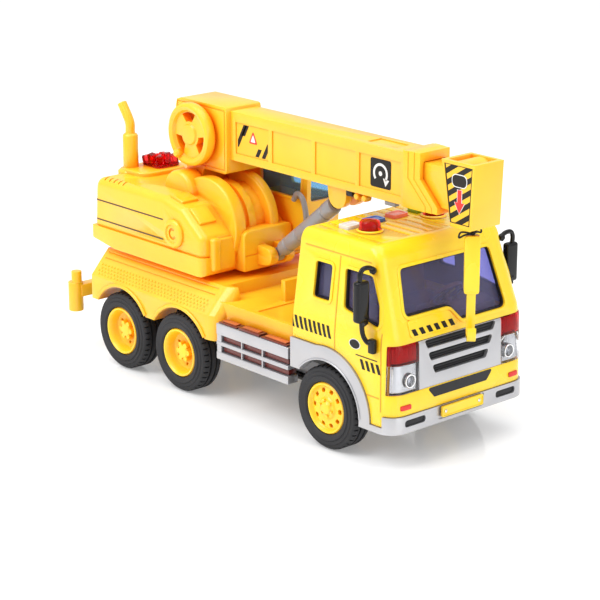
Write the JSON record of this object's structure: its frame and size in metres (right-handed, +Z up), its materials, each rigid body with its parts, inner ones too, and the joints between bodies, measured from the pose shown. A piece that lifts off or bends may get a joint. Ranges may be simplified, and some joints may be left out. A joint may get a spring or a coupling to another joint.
{
  "type": "toy crane truck",
  "caption": "Six-wheeled toy crane truck with a swivelling turret, a raising telescopic boom, a hand-wheel hoist and a hook.",
  "frame": {"origin": "on the ground under the middle of the truck's overall length and width", "axes": "+X towards the cab, +Y to the truck's left, +Z up"},
  "size_m": [0.3, 0.12, 0.1606],
  "materials": {
    "golden_plastic": "smooth moulded, soft gloss",
    "lemon_plastic": "smooth moulded, soft gloss",
    "rim_plastic": "smooth moulded, soft gloss",
    "silver_plastic": "silver-grey, fine satin",
    "black_plastic": "satin black",
    "rubber": "matt, ribbed side walls",
    "grey_plastic": "mid grey, satin",
    "steel": "plain drawn wire",
    "tinted_window": "dark blue tinted clear plastic",
    "blue_window": "blue tinted clear plastic",
    "brown_plastic": "brown seats and dash",
    "red_lens": "clear red plastic",
    "clear_lens": "clear plastic over a bright reflector",
    "plate_plastic": "yellow plate, blank",
    "circuit_board": "green board",
    "battery_wrap": "wrapped cells",
    "black_string": "twisted nylon string",
    "white_button": "white key",
    "blue_button": "blue key",
    "pink_button": "pink key",
    "green_button": "green key"
  },
  "bodies": {
    "truck": {"chassis_frame": "black_plastic", "chassis_deck": "golden_plastic", "friction_housing": "black_plastic", "battery_cover": "black_plastic", "battery_pack": "battery_wrap", "side_rack_right": "silver_plastic", "side_rack_left": "silver_plastic", "mirror_right": "black_plastic", "mirror_left": "black_plastic", "cab_shell": "lemon_plastic", "cab_glazing": "tinted_window", "cab_interior": "brown_plastic", "sound_board": "circuit_board", "cab_skirt": "silver_plastic", "grille_surround": "silver_plastic", "headlamp_right": "clear_lens", "marker_lamp_right": "red_lens", "headlamp_left": "clear_lens", "marker_lamp_left": "red_lens", "number_plate": "plate_plastic", "beacon_right": "red_lens", "beacon_left": "red_lens"},
    "front_wheels": {"front_axle": "steel", "front_right_rim": "rim_plastic", "front_right_tyre": "rubber", "front_left_rim": "rim_plastic", "front_left_tyre": "rubber"},
    "middle_wheels": {"middle_axle": "steel", "middle_right_rim": "rim_plastic", "middle_right_tyre": "rubber", "middle_left_rim": "rim_plastic", "middle_left_tyre": "rubber"},
    "rear_wheels": {"rear_axle": "steel", "rear_right_rim": "rim_plastic", "rear_right_tyre": "rubber", "rear_left_rim": "rim_plastic", "rear_left_tyre": "rubber"},
    "flywheel": {"flywheel": "steel"},
    "stabiliser_right": {"stabiliser_right": "golden_plastic"},
    "stabiliser_left": {"stabiliser_left": "golden_plastic"},
    "button_white": {"button_white": "white_button"},
    "button_blue": {"button_blue": "blue_button"},
    "button_pink": {"button_pink": "pink_button"},
    "button_green": {"button_green": "green_button"},
    "turret": {"turret_house": "golden_plastic", "operator_cab": "golden_plastic", "operator_glazing": "blue_window", "grab_rail": "grey_plastic", "exhaust_stack": "golden_plastic", "engine_lamp": "red_lens"},
    "boom": {"boom_outer": "golden_plastic", "boom_pin": "steel"},
    "winch": {"handwheel": "golden_plastic", "winch_drum": "black_plastic"},
    "extension": {"boom_inner": "golden_plastic"},
    "pulley": {"head_pulley": "lemon_plastic"},
    "hoist_line": {"hoist_string": "black_string"},
    "hook": {"hook_block": "lemon_plastic"},
    "ram_barrel": {"ram_barrel": "grey_plastic"},
    "ram_rod": {"ram_rod": "steel"}
  },
  "joints": [
    {"name": "front_axle_spin", "type": "hinge", "parent": "truck", "child": "front_wheels", "pos_m": [0.0839, 0, 0.023], "axis": [0, 1, 0], "continuous": true},
    {"name": "middle_axle_spin", "type": "hinge", "parent": "truck", "child": "middle_wheels", "pos_m": [-0.0407, 0, 0.023], "axis": [0, 1, 0], "continuous": true},
    {"name": "rear_axle_spin", "type": "hinge", "parent": "truck", "child": "rear_wheels", "pos_m": [-0.095, 0, 0.023], "axis": [0, 1, 0], "continuous": true},
    {"name": "flywheel_spin", "type": "hinge", "parent": "truck", "child": "flywheel", "pos_m": [-0.082, 0, 0.023], "axis": [0, 1, 0], "continuous": true},
    {"name": "stabiliser_right_slide", "type": "slide", "parent": "truck", "child": "stabiliser_right", "axis": [0, -1, 0], "range_m": [0, 0.02]},
    {"name": "stabiliser_left_slide", "type": "slide", "parent": "truck", "child": "stabiliser_left", "axis": [0, 1, 0], "range_m": [0, 0.02]},
    {"name": "button_white_press", "type": "slide", "parent": "truck", "child": "button_white", "axis": [0, 0, -1], "range_m": [0, 0.0015], "stiffness_N_per_m": 250, "springref_m": -0.001},
    {"name": "button_blue_press", "type": "slide", "parent": "truck", "child": "button_blue", "axis": [0, 0, -1], "range_m": [0, 0.0015], "stiffness_N_per_m": 250, "springref_m": -0.001},
    {"name": "button_pink_press", "type": "slide", "parent": "truck", "child": "button_pink", "axis": [0, 0, -1], "range_m": [0, 0.0015], "stiffness_N_per_m": 250, "springref_m": -0.001},
    {"name": "button_green_press", "type": "slide", "parent": "truck", "child": "button_green", "axis": [0, 0, -1], "range_m": [0, 0.0015], "stiffness_N_per_m": 250, "springref_m": -0.001},
    {"name": "turret_swivel", "type": "hinge", "parent": "truck", "child": "turret", "pos_m": [-0.068, 0, 0.069], "axis": [0, 0, 1], "range_deg": [-135, 135]},
    {"name": "boom_luff", "type": "hinge", "parent": "turret", "child": "boom", "pos_m": [-0.07, 0, 0.115], "axis": [0, -1, 0], "range_deg": [0, 30]},
    {"name": "handwheel_turn", "type": "hinge", "parent": "boom", "child": "winch", "pos_m": [-0.067, 0, 0.142], "axis": [0, 1, 0], "range_deg": [0, 270]},
    {"name": "boom_extend", "type": "slide", "parent": "boom", "child": "extension", "axis": [1, 0, 0], "range_m": [0, 0.05]},
    {"name": "pulley_turn", "type": "hinge", "parent": "extension", "child": "pulley", "pos_m": [0.1363, 0, 0.1505], "axis": [0, 1, 0], "range_deg": [0, 366]},
    {"name": "hoist_lower", "type": "slide", "parent": "extension", "child": "hoist_line", "axis": [0, 0, -1], "range_m": [0, 0.028]},
    {"name": "hook_hang", "type": "hinge", "parent": "hoist_line", "child": "hook", "pos_m": [0.141, -0.0015, 0.121], "axis": [0, 1, 0], "range_deg": [0, 30]},
    {"name": "ram_lean", "type": "hinge", "parent": "turret", "child": "ram_barrel", "pos_m": [-0.013, 0, 0.078], "axis": [0, -1, 0], "range_deg": [0, 32]},
    {"name": "ram_stroke", "type": "slide", "parent": "ram_barrel", "child": "ram_rod", "axis": [0.7802, 0, 0.6255], "range_m": [0, 0.0352]}
  ],
  "couplings": [
    {"joint": "flywheel_spin", "follows": "rear_axle_spin", "ratio": -2.25},
    {"joint": "ram_lean", "follows": "boom_luff", "ratio": 1.06},
    {"joint": "ram_stroke", "follows": "boom_luff", "m_per_rad": 0.067},
    {"joint": "hook_hang", "follows": "boom_luff", "ratio": 1},
    {"joint": "handwheel_turn", "follows": "hoist_lower", "rad_per_m": 166.67},
    {"joint": "pulley_turn", "follows": "hoist_lower", "rad_per_m": 227.27}
  ]
}
